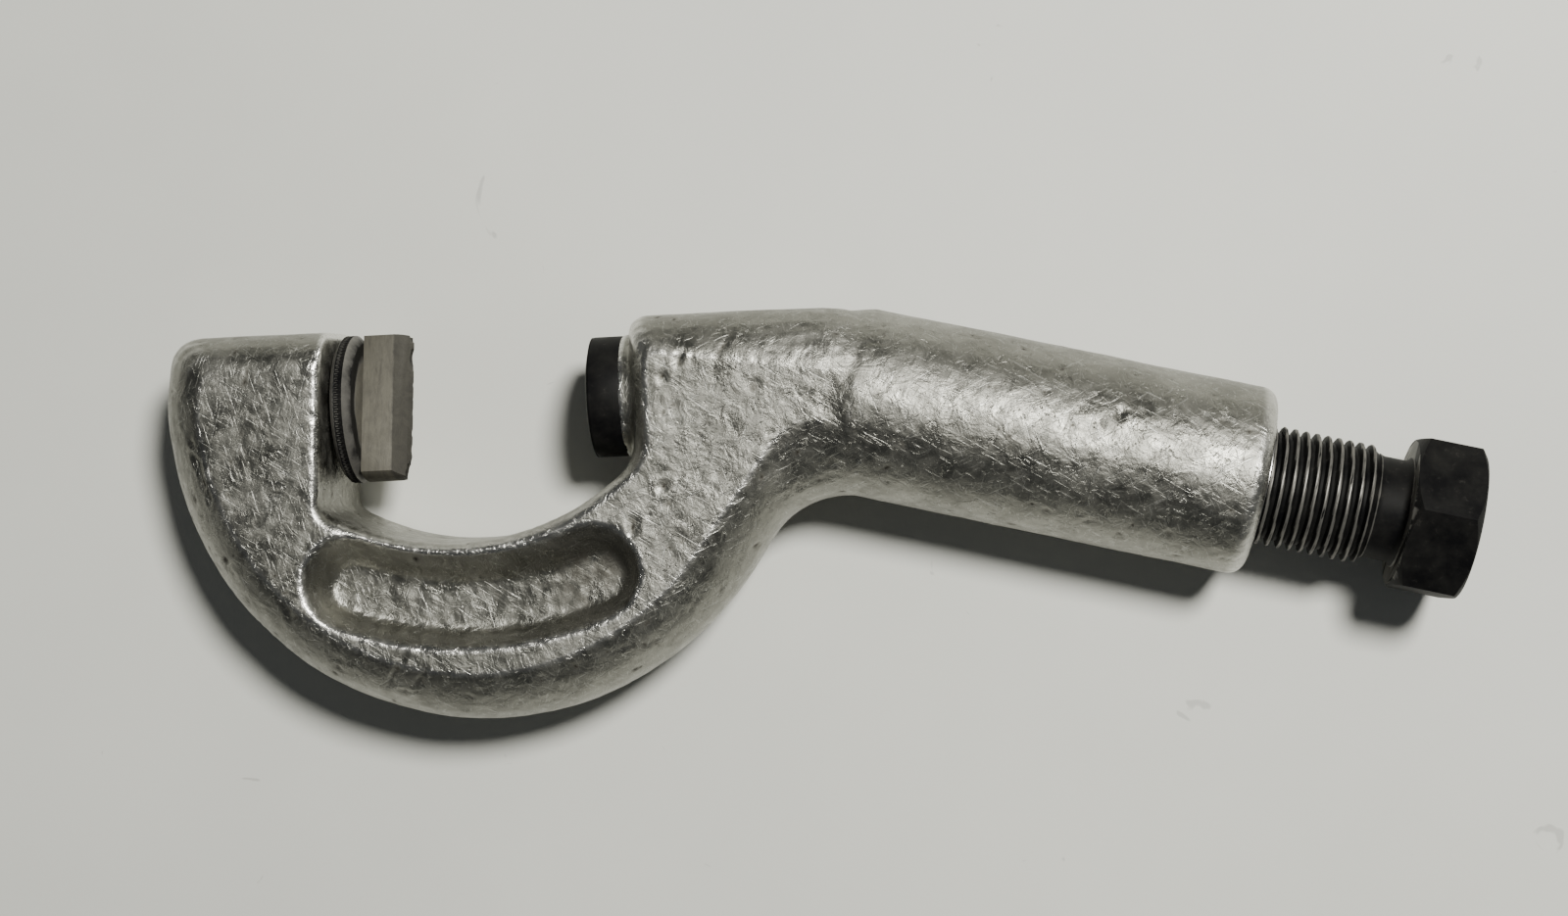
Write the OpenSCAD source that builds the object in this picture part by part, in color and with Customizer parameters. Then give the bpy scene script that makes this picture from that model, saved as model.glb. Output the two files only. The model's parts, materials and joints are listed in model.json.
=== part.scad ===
// Hand-held hydraulic nut splitter: a forged C-shaped frame with a chisel in one head
// and an oil-driven ram in the other. Turning the screw at the end of the handle feeds
// a plunger into the oil, and the oil pushes the ram and its pad towards the chisel.
//
// +X runs along the jaw axis from the chisel to the handle, +Z stands out of the
// frame's broad side, and the origin is the middle of the ram pad's pressing face.
// Distances called "s" run along the handle's own axis, from where it meets the jaw axis.

/* [Jaw] */
// Opening between the ram pad and the chisel's edge, with the screw backed out
jaw_gap = 35; // [28:0.1:44]
// Radius of the throat's round bottom
throat_r = 48; // [45:0.5:52]
// Height of the throat circle's centre above the jaw axis
throat_rise = 22.5; // [20:0.5:26]
// How far the throat circle's centre sits towards the chisel from mid-way between the heads
throat_shift = 4.2; // [1:0.1:5]

/* [Frame] */
// Thickness between the frame's two broad faces
frame_thk = 33; // [30:0.5:40]
// Radius of the C's outer rim
rim_r = 60.4; // [58:0.2:72]
// Height of the rim circle's centre above the jaw axis
rim_rise = 2; // [0:0.1:4]
// Height of both heads above the jaw axis
head_top = 14.5; // [13:0.5:18]
// Length of the chisel head along the jaw axis
chisel_head_len = 31.9; // [29:0.1:40]
// Length of the ram head, from its face to where the handle's axis meets the jaw axis
ram_head_len = 29.4; // [27:0.2:36]
// Width of the rounding along the rim
rim_round = 9.4; // [5:0.1:12]
// Width of the rounding along the tops of the heads
top_round = 6.7; // [3:0.1:9]
// Width of the rounding along the throat
throat_round = 2; // [1:0.1:3.5]

/* [Pocket] */
// Radius of the pocket's curved middle line
pocket_r = 64; // [54:0.5:80]
// Height of that curve's centre above the jaw axis
pocket_rise = 28; // [20:0.5:36]
// Half of the pocket's angle, seen from that centre
pocket_half_angle = 20.6; // [12:0.2:24]
// Half of the pocket's width at its mouth
pocket_half_width = 9; // [6:0.1:10]
// Depth of the pocket
pocket_depth = 7.5; // [3:0.1:10]

/* [Handle] */
// Diameter of the handle
handle_d = 35; // [34:0.1:44]
// Angle between the jaw axis and the handle's axis
handle_bend = 14.4; // [10:0.2:20]
// Length of the handle from the point where its axis meets the jaw axis
handle_len = 87.5; // [73:0.5:120]
// Radius of the handle's end edge
handle_end_round = 3.2; // [1:0.1:4]

/* [Ram] */
// Bore of the ram's cylinder
ram_bore_d = 20; // [16:0.1:24]
// Diameter of the ram's rod
ram_rod_d = 12; // [8:0.1:14]
// Diameter of the ram pad
pad_d = 22.5; // [16:0.1:28]
// Thickness of the ram pad
pad_len = 7; // [5:0.1:9]
// Chamfer at the back of the ram pad
pad_chamfer = 1.7; // [0.5:0.1:2.5]
// Gap between the pad and the head behind it, with the ram drawn in
pad_gap = 1; // [0.5:0.1:3]
// Wire diameter of the ram's return spring
spring_wire = 1.3; // [0.8:0.1:1.6]
// Number of coils of the return spring
spring_coils = 3.5; // [2.5:0.5:5]

/* [Plunger and screw] */
// Diameter of the pump plunger
plunger_d = 14; // [11:0.1:16]
// How far the screw feeds the plunger
feed = 24; // [18:0.5:29]
// Outside diameter of the screw's thread
thread_d = 22; // [18:0.5:24]
// Pitch of the screw's thread
thread_pitch = 2; // [1.5:0.25:2.5]
// Diameter of the plain neck between the thread and the hexagon
neck_d = 18.8; // [14:0.1:19]
// Length of the plain neck
neck_len = 6; // [4:0.1:9]
// Width of the hexagon across its flats
hex_af = 27; // [24:0.5:32]
// Length of the hexagon
hex_len = 12.4; // [9:0.1:17]
// Turn of the hexagon about the handle's axis
hex_turn = 55; // [0:1:59]
// Gap left between the hexagon and the bush when the screw is fully in
hex_clear = 1.8; // [1:0.1:8]

/* [Chisel] */
// Diameter of the knurled collar
collar_d = 27.8; // [24:0.1:28.6]
// Width of the knurled collar
collar_len = 3.7; // [3:0.1:7]
// Thickness of the chisel's blade
blade_thk = 7.8; // [6:0.1:10]
// Length of the blade from the collar to its edge
blade_len = 8.7; // [6:0.1:12]
// Length of the ground bevel
bevel_len = 2.9; // [2:0.1:4.5]
// Turn of the blade about the jaw axis, as it was last left
blade_turn = -16; // [-90:1:90]
// Diameter of the chisel's shank
shank_d = 14; // [12:0.1:16]

/* [Fits] */
// Radial clearance of a sliding or turning fit
running = 0.03; // [0.01:0.01:0.08]
// Radial clearance round a part that stays put
snug = 0.02; // [0.01:0.01:0.05]

/* [Hidden] */
$fn = 64;
eps = 0.01;

// --- places along the jaw axis ---
half_thk = frame_thk / 2;
ram_face = pad_len + pad_gap;               // the ram head's face
edge_x = -jaw_gap;                          // the chisel's cutting edge
collar_front = edge_x - blade_len;
collar_back = collar_front - collar_len;
chisel_face = collar_back - 0.3;            // the chisel head's face, at the top
chisel_face_lean = 2;                       // how far that face leans back at the throat
chisel_side = chisel_face - chisel_head_len;
elbow_x = ram_face + ram_head_len;          // where the two axes meet

// --- the ram's train ---
ram_stroke = feed * pow(plunger_d / ram_bore_d, 2);
gland_front = ram_face + 0.4;
gland_len = 6;
gland_back = gland_front + gland_len;
gland_d = ram_bore_d + 2;
wiper_len = 2;
wiper_d = ram_rod_d + 4;
spring_len = ram_stroke + spring_wire * (spring_coils + 1) + 0.6;
spring_mean_r = (ram_bore_d / 2 + ram_rod_d / 2) / 2;
piston_front = gland_back + spring_len;
piston_len = 8;
piston_back = piston_front + piston_len;
cylinder_end = piston_back + 2.5;
seal_groove_front = piston_front + 2;
seal_groove_back = piston_back - 1;
backup_len = 1.5;
seal_floor_d = ram_bore_d - 6;
pad_stub_d = ram_rod_d - 4;
pad_stub_len = 4;

// --- the plunger and the screw, measured as s ---
pump_start = 4;
plunger_front = pump_start + feed;
seal_land = 7.5;
chamber_start = plunger_front + seal_land;
flange_front = chamber_start + feed + 0.5;
flange_len = 4;
flange_back = flange_front + flange_len;
screw_front = flange_back + 1.5;
ball_d = 8;
chamber_d = thread_d + 3;
ring_len = 1.2;
ring_front = screw_front + 1.5;
bush_front = ring_front + ring_len + 0.3;
bush_d = thread_d + 5;
nose_d = thread_d - 3;
ring_seat_d = nose_d - 1.6;
thread_start = ring_front + ring_len + 1.2;
thread_depth = 0.61 * thread_pitch;
thread_end = handle_len + feed + hex_clear - neck_len;
hex_start = thread_end + neck_len;
screw_end = hex_start + hex_len;
hex_chamfer = 1.6;
o_ring_len = 2.4;
plunger_backup_len = 1.2;
plunger_groove = plunger_front + 2;
plunger_floor_d = plunger_d - 4;

// --- the chisel's seat ---
blade_d = collar_d - 0.1;
core_d = shank_d + 4;
shoulder_d = shank_d + 5.6;
shoulder_back = chisel_face - 3.1;
shank_end = chisel_face - 23.6;
shank_groove = shoulder_back - 3.6;
shank_groove_depth = 1.6;
detent_x = chisel_face - 15.6;
detent_depth = 1;
detent_ball_d = 3.5;
detent_bore_d = 6;
// The ball's innermost point, where it rests on both flanks of the shank's groove.
detent_top = -(shank_d / 2 - detent_depth) - detent_ball_d * (sqrt(2) - 1) / 2;
detent_plug_len = 3.4;
detent_plug_z = -(half_thk - 0.2);

// --- fastenings in the handle's hidden side ---
filler_s = 18;
filler_d = 6;
filler_head_d = 9.6;
filler_head_len = 2.8;
filler_face = handle_d / 2 - 0.6;                    // the plug's outer face, from the axis
filler_seat = filler_face - filler_head_len - 1;     // the seal's seat, from the axis
lock_s = (bush_front + handle_len) / 2;
lock_d = 5;
lock_tip = bush_d / 2 - 1.2;
socket_af = 2.5;

// --- the forging's outline: its rim at mid-thickness, and the crease of its flat ---
function polar(c, r, a) = c + r * [cos(a), sin(a)];
function arc_corner(c, r, a0, a1) = polar(c, r / cos((a1 - a0) / 2), (a0 + a1) / 2);
function line_at_x(p, a, x) = [x, p[1] + (x - p[0]) * tan(a)];
function unit(v) = v / norm(v);
function on_handle_plane(s, off) =
    [elbow_x + s * cos(handle_bend) + off * sin(handle_bend),
     -s * sin(handle_bend) + off * cos(handle_bend)];
function wrap(a) = a > 180 ? a - 360 : a < -180 ? a + 360 : a;

// An arc of radius r that rounds corner v between its neighbours a and b.
function fillet(a, v, b, r, n) =
    let (u = unit(a - v), w = unit(b - v), half = acos(u * w) / 2,
         c = v + unit(u + w) * r / sin(half),
         p = v + u * r / tan(half) - c, q = v + w * r / tan(half) - c,
         a0 = atan2(p[1], p[0]), turn = wrap(atan2(q[1], q[0]) - a0))
    [for (i = [0:n]) polar(c, r, a0 + turn * i / n)];

head_mid = (ram_face + chisel_face - chisel_face_lean) / 2;
throat_c = [head_mid - throat_shift, throat_rise];
rim_c = [head_mid + 0.2, rim_rise];
throat_a0 = 306;
throat_a1 = 242;
rim_a0 = 188;
rim_a1 = 326;
crease_a1 = 322.5;
ram_edge_round = 3.6;
chisel_edge_round = 1.2;
skin = 0.15;                                // how far the forging's loft sinks in the handle

function throat_foot(r, x, a) = line_at_x(polar(throat_c, r, a), a + 90, x);
function rim_corner(r, a0, a1) = arc_corner(rim_c, r, a0, a1);
// Where the rim's last tangent meets a line that lies "off" from the handle's axis.
function rim_meets_handle(r, a1, off) =
    let (p = polar(rim_c, r, a1), d = [cos(a1 + 90), sin(a1 + 90)],
         q = on_handle_plane(0, off), h = [cos(handle_bend), -sin(handle_bend)],
         t = ((q[0] - p[0]) * h[1] - (q[1] - p[1]) * h[0]) / (d[0] * h[1] - d[1] * h[0]))
    p + d * t;

handle_r = handle_d / 2;
top_meets_handle = (head_top - (handle_r - skin) * cos(handle_bend)) / -sin(handle_bend);

// Each corner: [rim point, rim radius, crease point, crease radius, steps, and for the edge
//               that follows: depth of its rounding, how softly that runs into the flat]
CORNERS = [
    [[chisel_face, head_top + 0.2], 1.5,
     [chisel_face - chisel_edge_round, head_top - top_round], 1.2, 5, 10, 0.99],
    [[chisel_side + 1, head_top + 0.3], 6,
     [chisel_side + rim_round, head_top - top_round], 3, 4, 12, 0.96],
    [polar(rim_c, rim_r, rim_a0) + 5 * [-sin(8), cos(8)], 30,
     polar(rim_c, rim_r - rim_round, rim_a0) + 5 * [-sin(8), cos(8)], 20, 3, 14, 0.86],
    [rim_corner(rim_r, rim_a0, rim_a1), rim_r - 0.5,
     rim_corner(rim_r - rim_round, rim_a0, crease_a1), rim_r - rim_round - 0.5, 30, 14, 0.82],
    [rim_meets_handle(rim_r, rim_a1, -handle_r), 17,
     rim_meets_handle(rim_r - rim_round, crease_a1, -5), 9, 8, 15, 0.97],
    [on_handle_plane(15, -handle_r + skin), 1, on_handle_plane(15, -5), 1, 1, 15, 0.99],
    [on_handle_plane(29, -7), 1, on_handle_plane(27, -3), 1, 1, 15, 0.99],
    [on_handle_plane(29, 7), 1, on_handle_plane(27, 3), 1, 1, 15, 0.99],
    [on_handle_plane(top_meets_handle, handle_r - skin), 18,
     on_handle_plane(9, 5), 6, 4, 11, 0.97],
    [[ram_face, head_top + 0.2], 3, [ram_face + ram_edge_round, head_top - top_round], 2, 5, 8, 0.96],
    [throat_foot(throat_r, ram_face, throat_a0), 8,
     throat_foot(throat_r + throat_round, ram_face + ram_edge_round, throat_a0), 10, 6, 4, 0.96],
    [arc_corner(throat_c, throat_r, throat_a0, throat_a1), throat_r - 0.3,
     arc_corner(throat_c, throat_r + throat_round, throat_a0, throat_a1),
     throat_r + throat_round - 0.3, 24, 3, 0.96],
    [throat_foot(throat_r, chisel_face - chisel_face_lean, throat_a1), 3,
     throat_foot(throat_r + throat_round, chisel_face - chisel_face_lean - chisel_edge_round,
                 throat_a1), 4, 8, 2, 0.96],
];
N_CORNERS = len(CORNERS);
function corner(i) = CORNERS[(i + N_CORNERS) % N_CORNERS];

function between(a, b, share) = a + (b - a) * share;
// Every outline point as [rim point, crease point, depth of its rounding, its softness].
OUTLINE = [for (i = [0:N_CORNERS - 1])
    let (before = corner(i - 1), here = corner(i), after = corner(i + 1), n = here[4],
         rim = fillet(before[0], here[0], after[0], here[1], n),
         crease = fillet(before[2], here[2], after[2], here[3], n))
    for (j = [0:n])
        [rim[j], crease[j], between(before[5], here[5], j / n), between(before[6], here[6], j / n)]];

// The share of the rounding's width that is gone at height z: a part of an ellipse, whose
// softness of 1 would run into the flat without a crease.
function inset(z, depth, soft) =
    let (t = soft * max(0, (abs(z) - half_thk + depth) / depth))
    (1 - sqrt(1 - t * t)) / (1 - sqrt(1 - soft * soft));
ROUND_STEPS = 8;

// Triangles that close a ring of n points: a strip that zips its two sides together from
// the seam, so that a bent outline is never bridged.
function cap(n, seam) =
    [for (i = [0:ceil(n / 2) - 2])
        let (a = (seam + i) % n, b = (seam + i + 1) % n,
             c = (seam - 2 - i + 2 * n) % n, d = (seam - 1 - i + 2 * n) % n)
        each (b == c ? [[a, b, d]] : [[a, b, c], [a, c, d]])];
function shifted(faces, base) = [for (f = faces) [for (v = f) v + base]];
function flipped(faces) = [for (f = faces) [f[0], f[2], f[1]]];

// Joins a stack of equal rings into one closed polyhedron.
module loft(rings, seam = 0) {
    n = len(rings[0]);
    m = len(rings);
    polyhedron(
        points = [for (ring = rings) each ring],
        faces = concat(
            cap(n, seam),
            [for (k = [0:m - 2]) for (i = [0:n - 1])
                each [[k * n + i, (k + 1) * n + (i + 1) % n, k * n + (i + 1) % n],
                      [k * n + i, (k + 1) * n + i, (k + 1) * n + (i + 1) % n]]],
            flipped(shifted(cap(n, seam), (m - 1) * n))),
        convexity = 8);
}

module forging() {
    levels = [for (k = [-ROUND_STEPS:ROUND_STEPS]) half_thk * sin(90 * k / ROUND_STEPS)];
    loft([for (z = levels) [for (p = OUTLINE)
        let (q = p[0] + (p[1] - p[0]) * inset(z, p[2], p[3])) [q[0], q[1], z]]],
         CORNERS[0][4] + 1);
}

// One ring of the pocket: a bent slot with round ends.
SLOT_STEPS = 12;
SLOT_END_STEPS = 8;
SLOT_SEAM = 2 * (SLOT_STEPS + SLOT_END_STEPS) - SLOT_END_STEPS / 2;
function slot_ring(r, half_w, half_a) =
    let (c = [head_mid - 1.3, pocket_rise], n = SLOT_STEPS, m = SLOT_END_STEPS)
    concat([for (i = [0:n]) polar(c, r + half_w, 270 - half_a + 2 * half_a * i / n)],
           [for (i = [1:m - 1]) polar(polar(c, r, 270 + half_a), half_w,
                                      270 + half_a + 180 * i / m)],
           [for (i = [n:-1:0]) polar(c, r - half_w, 270 - half_a + 2 * half_a * i / n)],
           [for (i = [1:m - 1]) polar(polar(c, r, 270 - half_a), half_w,
                                      90 - half_a + 180 * i / m)]);
function lift(ring, z) = [for (p = ring) [p[0], p[1], z]];

// The wall rises from the floor to the mouth: [share of the depth, share of the half-width]
POCKET_WALL = [[1, 0.42], [0.95, 0.52], [0.75, 0.62], [0.4, 0.76], [0.12, 0.9], [0, 1],
               [-0.1, 1.06]];
module pocket() {
    loft([for (w = POCKET_WALL)
        lift(slot_ring(pocket_r + 1.5 * w[0], pocket_half_width * w[1],
                       pocket_half_angle), half_thk - pocket_depth * w[0])], SLOT_SEAM);
}

module on_jaw(x = 0) translate([x, 0, 0]) rotate([0, 90, 0]) children();
module on_handle(s = 0)
    translate([elbow_x, 0, 0]) rotate([0, 0, -handle_bend]) rotate([0, 90, 0])
        translate([0, 0, s]) children();

// A plain round bar or hole from a to b on the current axis.
module bar(a, b, d) translate([0, 0, a]) cylinder(d = d, h = b - a);
module ring(a, b, d_out, d_in) difference() {
    bar(a, b, d_out);
    bar(a - 1, b + 1, d_in);
}
// A round bar along local +x, for holes drilled in from the hidden side.
module side_bar(a, b, d) rotate([0, 90, 0]) bar(a, b, d);

module handle_bar() {
    start = 3;
    grow = 12;
    r_in = min(handle_r, half_thk) - 1.5;
    rotate_extrude($fn = 96) union() {
        polygon([[0, start], [r_in, start], [handle_r, grow],
                 [handle_r, handle_len - handle_end_round],
                 [handle_r - handle_end_round, handle_len], [0, handle_len]]);
        translate([handle_r - handle_end_round, handle_len - handle_end_round])
            intersection() {
                circle(r = handle_end_round, $fn = 64);
                square(handle_end_round);
            }
    }
}

// ------------------------------------------------------------------- the frame's parts
module frame_casting() {
    color("silver") difference() {
        union() {
            forging();
            on_handle() handle_bar();
        }
        pocket();
        mirror([0, 0, 1]) pocket();
        on_jaw() {
            bar(gland_back - 1, cylinder_end, ram_bore_d);
            bar(ram_face - 2, gland_back, gland_d);
            bar(shank_end - 1, chisel_face, shank_d + 2 * running);
            bar(shoulder_back, chisel_face + 2, shoulder_d + 2 * running);
        }
        on_handle() {
            bar(pump_start, chamber_start + 1, plunger_d + 2 * running);
            bar(chamber_start, bush_front + 1, chamber_d);
            bar(bush_front, handle_len + 1, bush_d + 2 * snug);
            translate([0, 0, filler_s]) {
                side_bar(plunger_d / 4, handle_r, filler_d + 2 * snug);
                side_bar(filler_seat, handle_r + 1, filler_head_d + 0.3);
            }
            translate([0, 0, lock_s]) side_bar(bush_d / 4, handle_r + 1, lock_d + 2 * snug);
        }
        translate([detent_x, 0, 0]) rotate([180, 0, 0])
            bar(shank_d / 4, half_thk + 1, detent_bore_d + 2 * snug);
    }
}

module gland_nut() {
    color("dimgray") on_jaw() difference() {
        bar(gland_front, gland_back, gland_d - 2 * snug);
        bar(gland_front - 1, gland_back + 1, ram_rod_d + 2 * running);
        bar(gland_front - 1, gland_front + wiper_len, wiper_d + 2 * snug);
        for (a = [0, 180]) rotate([0, 0, a])
            translate([(wiper_d + gland_d) / 4, 0, 0]) bar(gland_front - 1, gland_front + 3, 1.6);
    }
}

module rod_wiper() {
    color("black") on_jaw()
        ring(gland_front + 0.1, gland_front + wiper_len - 0.05, wiper_d, ram_rod_d + 2 * running);
}

// A coil spring as one swept tube along the local axis, its ends seated flat to seat.
module coil_spring(len, mean_r, wire, coils) {
    per_coil = 20;
    n = floor(coils * per_coil);
    sides = 8;
    loft([for (i = [0:n])
        let (a = 360 * i / per_coil, c = mean_r * [cos(a), sin(a)],
             z = wire / 2 + 0.02 + (len - wire - 0.04) * i / n)
        [for (k = [0:sides - 1])
            let (b = -360 * k / sides, out = mean_r + wire / 2 * cos(b))
            [out * cos(a), out * sin(a), z + wire / 2 * sin(b)]]]);
}

module return_spring() {
    color("slategray") on_jaw(gland_back)
        coil_spring(spring_len, spring_mean_r, spring_wire, spring_coils);
}

module thread_bush() {
    color("gray") on_handle() difference() {
        bar(bush_front + 0.02, handle_len, bush_d);
        bar(bush_front - 1, handle_len + 1, thread_d + 2 * running);
        translate([0, 0, lock_s]) side_bar(lock_tip - 0.02, bush_d, lock_d + 2 * snug);
    }
}

// A headless screw along local +x with a hexagon socket in its outer end.
module grub(a, b, d, socket_depth) difference() {
    side_bar(a, b, d);
    rotate([0, 90, 0]) translate([0, 0, b - socket_depth])
        cylinder(d = socket_af / cos(30), h = socket_depth + 1, $fn = 6);
}

module bush_lock_screw() {
    color("dimgray") on_handle(lock_s) grub(lock_tip, handle_r - 0.6, lock_d, 2);
}

module filler_plug() {
    color("dimgray") on_handle(filler_s) difference() {
        union() {
            side_bar(plunger_d / 2 + 1.5, filler_face - filler_head_len + eps, filler_d);
            side_bar(filler_face - filler_head_len, filler_face, filler_head_d);
        }
        rotate([0, 90, 0]) translate([0, 0, filler_face - 2])
            cylinder(d = 4 / cos(30), h = 3, $fn = 6);
    }
}

module filler_seal() {
    color("peru") on_handle(filler_s) rotate([0, 90, 0])
        ring(filler_seat + 0.01, filler_face - filler_head_len - 0.01, filler_head_d,
             filler_d + 2 * snug);
}

module detent_ball() {
    color("lightgray") translate([detent_x, 0, detent_top - detent_ball_d / 2 - 0.01])
        sphere(d = detent_ball_d);
}

module detent_spring() {
    low = detent_plug_z + detent_plug_len + 0.02;
    high = detent_top - detent_ball_d - 0.03;
    color("slategray") translate([detent_x, 0, low])
        coil_spring(high - low, 1.9, 0.5, 3);
}

module detent_plug() {
    color("dimgray") translate([detent_x, 0, 0]) rotate([0, 90, 0])
        grub(-detent_plug_z - detent_plug_len, -detent_plug_z, detent_bore_d, 2);
}

// ------------------------------------------------------------------- the ram's parts
module ram_piston() {
    color("lightgray") on_jaw() difference() {
        union() {
            bar(pad_len - pad_stub_len + 0.02, pad_len + eps, pad_stub_d - 2 * snug);
            bar(pad_len, piston_front + eps, ram_rod_d);
            bar(piston_front, piston_back, ram_bore_d - 2 * running);
        }
        ring(seal_groove_front, seal_groove_back, ram_bore_d + 2, seal_floor_d);
    }
}

module ram_pad() {
    edge = 0.5;
    color([0.1, 0.1, 0.1]) on_jaw() difference() {
        rotate_extrude($fn = 96) polygon([
            [0, 0], [pad_d / 2 - edge, 0], [pad_d / 2, edge], [pad_d / 2, pad_len - pad_chamfer],
            [pad_d / 2 - pad_chamfer, pad_len], [0, pad_len]]);
        bar(pad_len - pad_stub_len, pad_len + 1, pad_stub_d);
    }
}

module piston_cup_seal() {
    lip = 0.9;
    color("black") on_jaw() difference() {
        ring(seal_groove_front + backup_len + 0.04, seal_groove_back - 0.02,
             ram_bore_d - 2 * snug, seal_floor_d + 2 * snug);
        ring(seal_groove_back - 1.6, seal_groove_back + 1, ram_bore_d - 2 * lip,
             seal_floor_d + 2 * lip);
    }
}

module piston_backup_ring() {
    color("ivory") on_jaw()
        ring(seal_groove_front + 0.02, seal_groove_front + backup_len, ram_bore_d - 2 * snug,
             seal_floor_d + 2 * snug);
}

// ------------------------------------------------------------------- the plunger's parts
module pump_plunger() {
    color("lightgray") on_handle() difference() {
        union() {
            bar(plunger_front, flange_front + eps, plunger_d);
            bar(flange_front, flange_back, chamber_d - 0.4);
        }
        ring(plunger_groove, plunger_groove + o_ring_len + plunger_backup_len, plunger_d + 2,
             plunger_floor_d);
        bar(flange_back - ball_d / 2 + 0.7, flange_back + 1, ball_d + 2 * snug);
    }
}

module plunger_o_ring() {
    mean = (plunger_floor_d + plunger_d) / 4;
    wire = (plunger_d - plunger_floor_d) / 2 - 2 * snug;
    color("black") on_handle(plunger_groove + o_ring_len / 2)
        rotate_extrude() translate([mean, 0]) circle(d = wire);
}

module plunger_backup_ring() {
    color("ivory") on_handle()
        ring(plunger_groove + o_ring_len + 0.02, plunger_groove + o_ring_len
             + plunger_backup_len - 0.02, plunger_d - snug, plunger_floor_d + 2 * snug);
}

module thrust_ball() {
    color("lightgray") on_handle((flange_back + screw_front) / 2) sphere(d = ball_d);
}

// ------------------------------------------------------------------- the screw's parts
module pressure_screw() {
    r = thread_d / 2;
    turns = floor((thread_end - thread_start) / thread_pitch);
    run_out = thread_start + turns * thread_pitch;
    profile = concat(
        [[0, screw_front], [nose_d / 2 - 0.5, screw_front], [nose_d / 2, screw_front + 0.5],
         [nose_d / 2, ring_front], [ring_seat_d / 2, ring_front],
         [ring_seat_d / 2, ring_front + ring_len], [nose_d / 2, ring_front + ring_len],
         [nose_d / 2, thread_start - 0.2]],
        [for (i = [0:turns - 1]) let (z = thread_start + i * thread_pitch)
            each [[r - thread_depth, z], [r, z + 0.44 * thread_pitch],
                  [r, z + 0.56 * thread_pitch]]],
        [[r - thread_depth, run_out], [neck_d / 2, run_out + 0.2], [neck_d / 2, hex_start + eps],
         [0, hex_start + eps]]);
    color([0.12, 0.12, 0.12]) on_handle() difference() {
        union() {
            rotate_extrude($fn = 96) polygon(profile);
            intersection() {
                rotate([0, 0, hex_turn]) translate([0, 0, hex_start])
                    cylinder(d = hex_af / cos(30), h = hex_len, $fn = 6);
                rotate_extrude($fn = 96) polygon([
                    [0, hex_start], [hex_af / 2 - 0.4, hex_start],
                    [hex_af / 2 - 0.4 + 1.73 * hex_chamfer, hex_start + hex_chamfer],
                    [hex_af / 2 - 0.4 + 1.73 * hex_chamfer, screw_end - hex_chamfer],
                    [hex_af / 2 - 0.4, screw_end], [0, screw_end]]);
            }
        }
        bar(screw_front - 1, screw_front + ball_d / 2 - 0.7, ball_d + 2 * snug);
    }
}

module screw_stop_ring() {
    color("dimgray") on_handle() difference() {
        ring(ring_front + 0.02, ring_front + ring_len - 0.02, chamber_d - 1.4,
             ring_seat_d + 2 * snug);
        translate([-1.5, 0, ring_front - 1]) cube([3, chamber_d, ring_len + 2]);
    }
}

// ------------------------------------------------------------------- the chisel's parts
module chisel() {
    color("tan") rotate([blade_turn, 0, 0]) {
        intersection() {
            rotate([90, 0, 0]) translate([0, 0, -collar_d])
                linear_extrude(2 * collar_d) polygon([
                    [collar_front - eps, -blade_thk / 2], [edge_x - bevel_len, -blade_thk / 2],
                    [edge_x, -0.15], [edge_x, 0.15], [edge_x - bevel_len, blade_thk / 2],
                    [collar_front - eps, blade_thk / 2]]);
            on_jaw() bar(collar_back, edge_x + 1, blade_d);
        }
        on_jaw() difference() {
            union() {
                bar(collar_back - eps, collar_front, core_d);
                bar(shoulder_back, collar_back, shoulder_d);
                bar(shank_end, shoulder_back + eps, shank_d);
            }
            ring(shank_groove, shank_groove + o_ring_len, shank_d + 2,
                 shank_d - 2 * shank_groove_depth);
            rotate_extrude() polygon([
                [shank_d / 2 - detent_depth, detent_x], [shank_d / 2 + 1, detent_x - 2],
                [shank_d / 2 + 1, detent_x + 2]]);
        }
    }
}

module chisel_collar() {
    bevel = 1.1;
    color([0.14, 0.14, 0.14]) on_jaw() difference() {
        rotate_extrude($fn = 96) polygon([
            [core_d / 2 + snug, collar_back + 0.01], [collar_d / 2 - 0.3, collar_back + 0.01],
            [collar_d / 2, collar_back + 0.3], [collar_d / 2, collar_front - bevel],
            [collar_d / 2 - 0.8, collar_front - 0.02], [core_d / 2 + snug, collar_front - 0.02]]);
    }
}

module shank_o_ring() {
    wire = shank_groove_depth - 2 * snug;
    color("black") on_jaw(shank_groove + o_ring_len / 2)
        rotate_extrude() translate([shank_d / 2 - shank_groove_depth / 2, 0]) circle(d = wire);
}

frame_casting();
gland_nut();
rod_wiper();
return_spring();
thread_bush();
bush_lock_screw();
filler_plug();
filler_seal();
detent_ball();
detent_spring();
detent_plug();
ram_piston();
ram_pad();
piston_cup_seal();
piston_backup_ring();
pump_plunger();
plunger_o_ring();
plunger_backup_ring();
thrust_ball();
pressure_screw();
screw_stop_ring();
chisel();
chisel_collar();
shank_o_ring();
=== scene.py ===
import json
import math
import random

import bmesh
import bpy
from mathutils import Matrix, Vector, noise
from mathutils.kdtree import KDTree


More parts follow.
